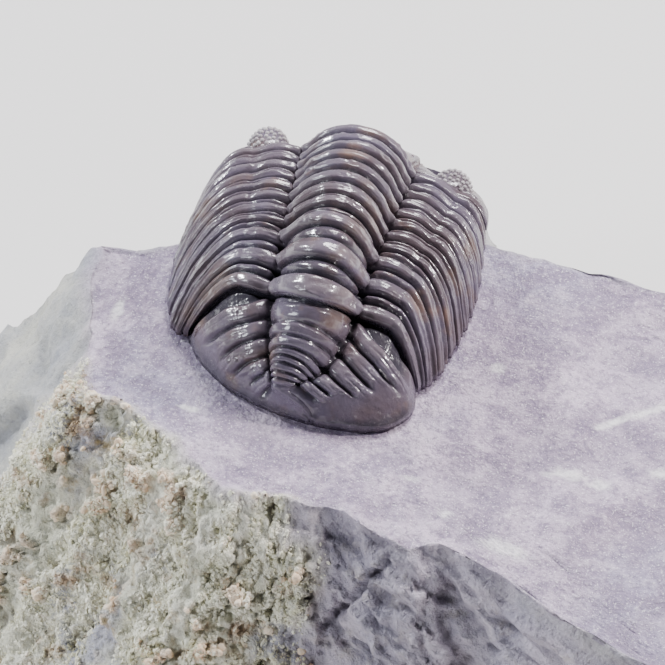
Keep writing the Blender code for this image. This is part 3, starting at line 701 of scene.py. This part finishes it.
def cuticle():
    """Dark calcite shell: grey brown with a purple cast, brown and blue tints, and a soft polish."""
    made, tree, shader = empty_material("calcite_cuticle")
    where = wire(tree, "ShaderNodeTexCoord").outputs["Object"]
    relief = marked(tree, "relief")
    broad = window(tree, grain(tree, where, 170.0, 3.0), 0.38, 0.62)
    middling = grain(tree, where, 700.0, 4.0, 0.6)
    fine = grain(tree, where, 3600.0, 3.0, 0.65)
    colour = tinted(tree, blend_colour(tree, broad, (0.108, 0.080, 0.094), (0.145, 0.122, 0.170)), (
        (grain(tree, where, 260.0, 3.0), 0.54, 0.68, 0.75, (0.185, 0.125, 0.105)),
        (grain(tree, where, 230.0, 3.0), 0.64, 0.74, 0.55, (0.30, 0.18, 0.12)),
        # Painted shade: near black in the furrows, grooves and hollows of the relief
        (relief, -0.06, -0.42, 0.85, (0.034, 0.032, 0.046)),
        # Paler on the raised crests
        (relief, 0.05, 0.3, 0.45, (0.25, 0.215, 0.245)),
    ))
    dust = maths(tree, "MULTIPLY", window(tree, fine, 0.56, 0.72), window(tree, middling, 0.5, 0.7))
    colour = blend_colour(tree, maths(tree, "MULTIPLY", dust, 0.6), colour, (0.42, 0.39, 0.40))
    tree.links.new(colour, shader.inputs["Base Color"])
    tree.links.new(window(tree, middling, 0.3, 0.7, 0.12, 0.36), shader.inputs["Roughness"])
    height = maths(tree, "ADD", maths(tree, "MULTIPLY", middling, 0.5), maths(tree, "MULTIPLY", fine, 0.2))
    bump = wire(tree, "ShaderNodeBump", {"Height": height, "Strength": 0.5, "Distance": 0.3 * MM})
    tree.links.new(bump.outputs["Normal"], shader.inputs["Normal"])
    # The polish is worn, so it fades where the surface is seen edge on
    slant = wire(tree, "ShaderNodeLayerWeight", {"Blend": 0.5}).outputs["Facing"]
    tree.links.new(window(tree, slant, 0.55, 0.85, 0.9, 0.0), shader.inputs["Coat Weight"])
    shader.inputs["Specular IOR Level"].default_value = 0.4
    shader.inputs["Coat Roughness"].default_value = 0.07
    return made


shell = cuticle()
for number in range(1, SEGMENTS + 1):
    back = SEGMENTS - number
    u = 0.5 - 0.5 * np.cos(math.pi * np.arange(PLATE_ROWS) / (PLATE_ROWS - 1))
    grid = np.array([section_line(back + 1 - share) for share in u])
    lift = roughened(grid, plate_relief(u, BANDS, SEGMENT_LENGTHS[back], grid, number))
    raised = grid + grid_normals(grid) * lift[..., None]
    plate = close_down(f"plate_{number:02d}", raised, {"relief": lift}, shell)
    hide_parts(f"thorax_segment_{number:02d}")


# The tail shield: one fused plate of the same dark calcite, with a ringed axis that narrows to the back,
# ribs that fan out from it on both sides, and a smooth border that rests just above the stone.

MARGIN_POWER = 0.93  # below 1 the margins bulge beyond an ellipse
DOME_POWER = 0.6  # how full a shield is where its axis has sunk in
SHIELD_SPAN, SHIELD_FROM = 0.955, 0.03  # part of a shield's length that has rows, and where they start
PYGIDIUM_REAR = (1.2, -6.8)
PYGIDIUM_CREST = ((-2.7, 3.2), (-5.3, 0.6), (-6.9, -3.6))
PYGIDIUM_ROWS = 150
# Shares of the length at which the rings are parted, and at which the axis has its widths
RING_EDGES = (0.06, 0.275, 0.41, 0.525, 0.595, 0.65, 0.715, 0.765, 0.815)
AXIS_END = 0.84
AXIS_WIDTHS = ((0.0, 1.0), (0.25, 0.95), (0.5, 0.93), (0.7, 0.88), (0.84, 0.72), (0.9, 1.0))
AXIS_SINKS = (0.55, 0.95)
TAIL_LEAN = -3.0
RIB_STARTS = (-0.02, 0.17, 0.34, 0.51, 0.65, 0.76)  # shares of the axis where the furrows between ribs start
RIB_SWEEP = 0.2
RIM_SHADE = 0.36  # how much deeper the margin counts for its colour, as painted shade along its edge


def curve_through(ends, share):
    a, b, c = (np.array(p) for p in ends)
    return a * (1 - share) ** 2 + 2 * b * share * (1 - share) + c * share**2


def shield(front, crest, margin_end, shares, axis_widths, blends, lean):
    """A vaulted shield grown from a line across the back to a half-elliptic margin on the rock. blends says
    how far its axis has sunk into it, and lean how far its end lies to the right."""
    columns = len(front)
    middle = columns // 2
    tips = front[0], front[-1]
    foot = (tips[0] + tips[1]) / 2
    end = to_world((*margin_end, 0.0))
    end[2] = ground(end[0], end[1]) + GAP + TIP_EDGE
    parts = []
    for i, start in enumerate(front):
        basis = np.stack([tips[0 if i < middle else 1] - foot, front[middle] - foot], axis=-1)
        (out, up), *_ = np.linalg.lstsq(basis, start - foot, rcond=None)
        parts.append((out, up, start - foot - basis @ np.array([out, up])))
    edge_out = parts[middle + AXIS_STATIONS][0]
    crest_end = to_world((0.0, *crest[-1]))
    rightwards = to_world((1.0, 0.0, 0.0)) - to_world((0.0, 0.0, 0.0))
    rows = []
    for share, width, blend in zip(shares, axis_widths, blends):
        angle = share * math.pi / 2
        y, z = curve_through(crest, share)
        top = to_world((0.0, y, z)) + (end - crest_end) * share**3
        sideways, lengthways = math.cos(angle) ** MARGIN_POWER, math.sin(angle) ** MARGIN_POWER
        reach = [foot + (tip - foot) * sideways + (end - foot) * lengthways for tip in tips]
        centre = (reach[0] + reach[1]) / 2
        row = []
        for i, (out, up, rest) in enumerate(parts):
            if abs(BANDS[i]) <= 1:
                out *= width
            else:
                out = 1 - (1 - out) * (1 - edge_out * width) / (1 - edge_out)
            up += (max(1 - out**2, 0.0) ** DOME_POWER - up) * blend
            aside = lean * share**1.5 * min(1.0, 4 * sideways) ** 2 * (1 - min(out**2, 1.0)) * rightwards
            outwards = (reach[0 if i < middle else 1] - centre) * out
            row.append(centre + outwards + (top - centre) * up + rest * (1 - share) + aside)
        rows.append(row)
    return np.array(rows)


def tail_relief(shares, grid):
    """Rings on the axis, and flat ribs parted by narrow furrows that lead out and back to the border."""
    across = np.abs(BANDS)[None]
    share = shares[:, None]
    wave = 0.018 * fractal(grid, 3.0, 2, 8.1)
    ring_phase = np.interp(share + wave, RING_EDGES, np.arange(len(RING_EDGES)))
    ring_off = np.abs(ring_phase - np.round(ring_phase))
    worn = np.clip(0.8 + 0.7 * fractal(grid, 2.2, 2, 8.4), 0.45, 1.1)
    rings = (0.05 - 0.36 * worn * bump_at(ring_off, 0.0, 0.17)) * smooth(AXIS_END, AXIS_END - 0.06, share)
    out = np.clip((across - 1) / 2, 0, 1)
    left = (BANDS < 0)[None]
    on_axis = share
    for _ in range(3):
        sweep = RIB_SWEEP * np.clip(1 - on_axis, 0, 1) ** 0.7 * np.sin(0.75 * math.pi * out)
        on_axis = share + wave - sweep + 0.1 * left * out**3
    rib_phase = np.interp(on_axis, RIB_STARTS, np.arange(len(RIB_STARTS)))
    rib_off = np.abs(rib_phase - np.round(rib_phase))
    rib_end = np.where(left, 0.95, 0.92 - 0.35 * np.clip(on_axis, 0, 1)) + 0.05 * np.sin(3 * rib_phase)
    border = smooth(rib_end, rib_end - 0.14, out)
    border = border * smooth(RIB_STARTS[-1] + 0.06, RIB_STARTS[-1] - 0.02, on_axis)
    swell = 0.16 * np.sin(math.pi * np.clip(rib_phase % 1.0, 0, 1)) ** 0.6
    ribs = (swell - 0.43 * bump_at(rib_off, 0.0, 0.125)) * border
    ribs += -0.07 * bump_at(rib_off, 0.5, 0.05) * border * smooth(0.25, 0.5, out)
    on_ring = smooth(1.02, 0.94, across)
    furrow = -0.3 * bump_at(across, 1.0, 0.08) * smooth(AXIS_END + 0.04, AXIS_END - 0.12, share)
    start = -0.5 * smooth(0.05, 0.0, share)
    return rings * on_ring + ribs * (1 - on_ring) + furrow + start


front_line = section_line(0.0)
shares = np.linspace(0.0, 1.0, PYGIDIUM_ROWS) * SHIELD_SPAN + SHIELD_FROM
blends = smooth(*AXIS_SINKS, shares)
widths = np.interp(shares, [a[0] for a in AXIS_WIDTHS], [a[1] for a in AXIS_WIDTHS])
tail = shield(front_line, PYGIDIUM_CREST, PYGIDIUM_REAR, shares, widths, blends, TAIL_LEAN)
lift = roughened(tail, tail_relief(shares, tail))
# The margin counts as deeper for its colour only, so its edge is darkened as painted shade beneath it
rim = np.maximum(smooth(0.93, 0.985, shares)[:, None], smooth(2.82, 3.0, np.abs(BANDS))[None])
raised = tail + grid_normals(tail) * lift[..., None]
tail_shield = close_down("tail_shield", raised, {"relief": lift - RIM_SHADE * rim}, shell)
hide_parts("pygidium")


# The head shield: one plate of the same calcite, with a swollen glabella, an occipital ring behind it and
# cheeks that fall to the margin. Both eyes have grown from the cheeks.

CEPHALON_FRONT = (0.0, 25.5)
CEPHALON_CREST = ((20.6, 1.7), (23.0, -0.9), (25.8, -4.4))
CEPHALON_ROWS = 110
GLABELLA_WIDTH = 0.86
GLABELLA_REACH = 2.1
GLABELLA_ENDS = 0.86
CHEEK_FALL = 1.0
HEAD_SHADE = 0.4  # share of the head's relief that counts for its colour


def head_relief(shares, grid):
    across = np.abs(BANDS)[None]
    share = shares[:, None]
    glabella = 0.25 * smooth(0.98, 0.8, across) * smooth(0.16, 0.24, share) * smooth(0.95, 0.85, share)
    furrow = -0.3 * bump_at(across, 1.0, 0.09) * smooth(0.02, 0.06, share) * smooth(0.95, 0.8, share)
    occipital = -0.45 * bump_at(share, 0.14, 0.022) * smooth(2.6, 2.2, across)
    start = -0.35 * smooth(0.05, 0.0, share)
    tubercles, rings = cells(grid, 0.9, 6.0)
    grains = 0.1 * smooth(0.5, 0.9, rings) * smooth(0.98, 0.7, across) * smooth(0.18, 0.3, share)
    return glabella + furrow + occipital + start + grains


def cheek_fall(shares):
    """How far the cheeks drop round the eyes."""
    forward = np.sin(math.pi * np.clip((shares[:, None] - 0.1) / 0.9, 0, 0.5))
    return CHEEK_FALL * forward * np.sin(math.pi * np.clip((np.abs(BANDS)[None] - 1) / 2, 0, 1))


front_line = section_line(float(SEGMENTS))
shares = np.linspace(0.0, 1.0, CEPHALON_ROWS) * SHIELD_SPAN + SHIELD_FROM
widths = np.minimum(GLABELLA_WIDTH / np.cos(shares * math.pi / 2), GLABELLA_REACH)
blends = np.clip((shares - GLABELLA_ENDS) / (1 - GLABELLA_ENDS), 0.0, 1.0)
head = shield(front_line, CEPHALON_CREST, CEPHALON_FRONT, shares, widths, blends, 0.0)
lift = roughened(head, head_relief(shares, head))
head[..., 2] -= cheek_fall(shares)
upright = grid_normals(head[::-1])[::-1] + np.array((0.0, 0.0, 0.9))
head = head + upright / np.linalg.norm(upright, axis=-1, keepdims=True) * lift[..., None]
shade = {"relief": HEAD_SHADE * lift[::-1]}
head_shield = close_down("head_shield", head[::-1], shade, shell)
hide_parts("cephalon")


# The eyes: a domed turret on each cheek, grown from it. Staggered rows of large round lenses stand all over
# it. They were clear calcite, and have weathered pale.

EYE_AT = (7.6, 22.25, -4.42)
EYE_HALF = (1.75, 2.1, 2.5)
EYE_FULLNESS = 0.6
EYE_SUNK = 1.2  # how far its wall goes down into the cheek
EYE_COLUMNS = 56
EYE_ROWS = 22
EYE_CROWN = 0.985  # share of the climb at which the dome is closed by a flat crown
LENS_ROWS = 8
LENS_COLUMNS = 24
FEWEST_LENSES = 6
LENS_CLIMB = (4.0, 82.0)  # the lowest row's climb in degrees, and how much higher the top row is
LENS_RADIUS = 0.17


def eye_point(side, turn, climb):
    x = EYE_HALF[0] * np.cos(turn) * np.cos(climb) ** EYE_FULLNESS
    y = EYE_HALF[1] * np.sin(turn) * np.cos(climb) ** EYE_FULLNESS
    z = EYE_HALF[2] * np.sin(climb)
    return to_world(np.stack([side * (EYE_AT[0] + x), EYE_AT[1] + y, EYE_AT[2] + z], axis=-1))


def eye_body(name, side):
    turn, climb = np.meshgrid(np.arange(EYE_COLUMNS) * 2 * math.pi / EYE_COLUMNS,
                              np.linspace(0, math.pi / 2 * EYE_CROWN, EYE_ROWS), indexing="xy")
    body = eye_point(side, turn, climb)
    sunk = body[0] - np.array((0.0, 0.0, EYE_SUNK))
    body = np.concatenate([sunk[None], body])
    rows, count = body.shape[:2]
    faces = [tuple(range(count)) if side < 0 else tuple(reversed(range(count)))]
    crown = tuple((rows - 1) * count + c for c in range(count))
    faces.append(tuple(reversed(crown)) if side < 0 else crown)
    for r in range(rows - 1):
        for c in range(count):
            d = (c + 1) % count
            face = (r * count + c, r * count + d, (r + 1) * count + d, (r + 1) * count + c)
            faces.append(face if side > 0 else face[::-1])
    made = lay_mesh(name, body.reshape(-1, 3), faces, {"relief": np.zeros(rows * count)})
    made.data.materials.append(shell)
    return made


def lens_seats(name, side):
    """The lenses' places on the eye's wall and crown, in staggered rows."""
    points = []
    for r in range(LENS_ROWS):
        climb = math.radians(LENS_CLIMB[0] + LENS_CLIMB[1] * r / (LENS_ROWS - 1))
        columns = max(FEWEST_LENSES, round(LENS_COLUMNS * math.cos(climb) ** EYE_FULLNESS))
        for c in range(columns):
            turn = math.radians(-178 + 356 * (c + 0.5 * (r % 2)) / columns)
            points.append(eye_point(side, np.array(turn), np.array(climb)))
    return lay_mesh(name, np.array(points), [])


def lens_tree():
    tree = bpy.data.node_groups.new("eye_lenses", "GeometryNodeTree")
    tree.interface.new_socket("Geometry", in_out="INPUT", socket_type="NodeSocketGeometry")
    tree.interface.new_socket("Radius", in_out="INPUT", socket_type="NodeSocketFloat")
    tree.interface.new_socket("Finish", in_out="INPUT", socket_type="NodeSocketMaterial")
    tree.interface.new_socket("Geometry", in_out="OUTPUT", socket_type="NodeSocketGeometry")
    given = wire(tree, "NodeGroupInput")
    seats = wire(tree, "GeometryNodeMeshToPoints", {"Mesh": given.outputs["Geometry"]})
    ball = wire(tree, "GeometryNodeMeshIcoSphere", {"Radius": given.outputs["Radius"], "Subdivisions": 3})
    placed = wire(tree, "GeometryNodeInstanceOnPoints", {
        "Points": seats.outputs["Points"], "Instance": ball.outputs["Mesh"]})
    real = wire(tree, "GeometryNodeRealizeInstances", {"Geometry": placed.outputs["Instances"]})
    coated = wire(tree, "GeometryNodeSetMaterial", {
        "Geometry": real.outputs[0], "Material": given.outputs["Finish"]})
    wire(tree, "NodeGroupOutput", {0: coated.outputs[0]})
    return tree


def lens_finish():
    made, tree, shader = empty_material("pale_lens_calcite")
    where = wire(tree, "ShaderNodeTexCoord").outputs["Object"]
    cloud = window(tree, grain(tree, where, 900.0), 0.4, 0.6)
    colour = blend_colour(tree, cloud, (0.30, 0.27, 0.285), (0.46, 0.43, 0.445))
    tree.links.new(colour, shader.inputs["Base Color"])
    shader.inputs["Roughness"].default_value = 0.4
    return made


lens_look = lens_finish()
lens_maker = lens_tree()
for side, word in ((-1, "left"), (1, "right")):
    turret = eye_body(f"{word}_eye", side)
    seats = lens_seats(f"{word}_lens_seats", side)
    lenses = grown(f"{word}_eye_lenses", seats, lens_maker, {
        "Radius": LENS_RADIUS * MM, "Finish": lens_look})
    lenses.data.shade_smooth()
    bpy.data.objects.remove(seats)
    for piece in (turret, lenses):
        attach(piece, "root")


# The floor, the lights and the camera, which stands behind and above the tail.

FLOOR_HALF = 900.0
CAMERA_AIM = (0.04, 5.2, 27.37)
CAMERA_AZIMUTH, CAMERA_ELEVATION = 12.81, 38.77
CAMERA_DISTANCE = 380.05
CAMERA_LENS = 264.7
LIGHTS_AIM = (0.0, 5.0, 28.0)
# Each light's name, place, size, power in watts and colour
LIGHTS = (
    ("broad_top_light", (60.0, 170.0, 300.0), 120.0, 1.5, (1.0, 0.98, 1.0)),
    ("left_strip_light", (-260.0, 90.0, 220.0), 36.0, 1.15, (0.93, 0.96, 1.0)),
    ("right_strip_light", (260.0, 70.0, 200.0), 36.0, 1.15, (1.0, 0.95, 0.95)),
    ("front_fill_light", (-310.0, -220.0, 200.0), 130.0, 0.9, (0.88, 0.93, 1.0)),
)


def around(aim, azimuth, elevation, distance):
    azimuth, elevation = math.radians(azimuth), math.radians(elevation)
    level = math.cos(elevation)
    away = (math.sin(azimuth) * level, -math.cos(azimuth) * level, math.sin(elevation))
    return Vector(aim) + distance * Vector(away)


def floor_finish():
    made, _, shader = empty_material("pale_floor")
    shader.inputs["Base Color"].default_value = (0.78, 0.77, 0.76, 1.0)
    shader.inputs["Roughness"].default_value = 0.7
    return made


corners = [(x * FLOOR_HALF, y * FLOOR_HALF, 0.0) for x, y in ((-1, -1), (1, -1), (1, 1), (-1, 1))]
floor = lay_mesh("floor", corners, [(0, 1, 2, 3)])
floor.data.materials.append(floor_finish())

world = bpy.data.worlds.new("studio")
world.use_nodes = True
world.node_tree.nodes["Background"].inputs["Color"].default_value = (0.95, 0.96, 1.0, 1.0)
world.node_tree.nodes["Background"].inputs["Strength"].default_value = 0.1
bpy.context.scene.world = world

for name, place, size, power, colour in LIGHTS:
    lamp = bpy.data.lights.new(name, "AREA")
    lamp.size = size * MM
    lamp.energy = power
    lamp.color = colour
    held = bpy.data.objects.new(name, lamp)
    held.location = Vector(place) * MM
    held.rotation_euler = (Vector(LIGHTS_AIM) * MM - held.location).to_track_quat("-Z", "Y").to_euler()
    bpy.context.scene.collection.objects.link(held)

lens = bpy.data.cameras.new("camera")
lens.lens = CAMERA_LENS
lens.sensor_width = 36.0
lens.clip_start = 0.01
camera = bpy.data.objects.new("camera", lens)
camera.location = around(CAMERA_AIM, CAMERA_AZIMUTH, CAMERA_ELEVATION, CAMERA_DISTANCE) * MM
camera.rotation_euler = (Vector(CAMERA_AIM) * MM - camera.location).to_track_quat("-Z", "Y").to_euler()
bpy.context.scene.collection.objects.link(camera)
bpy.context.scene.camera = camera
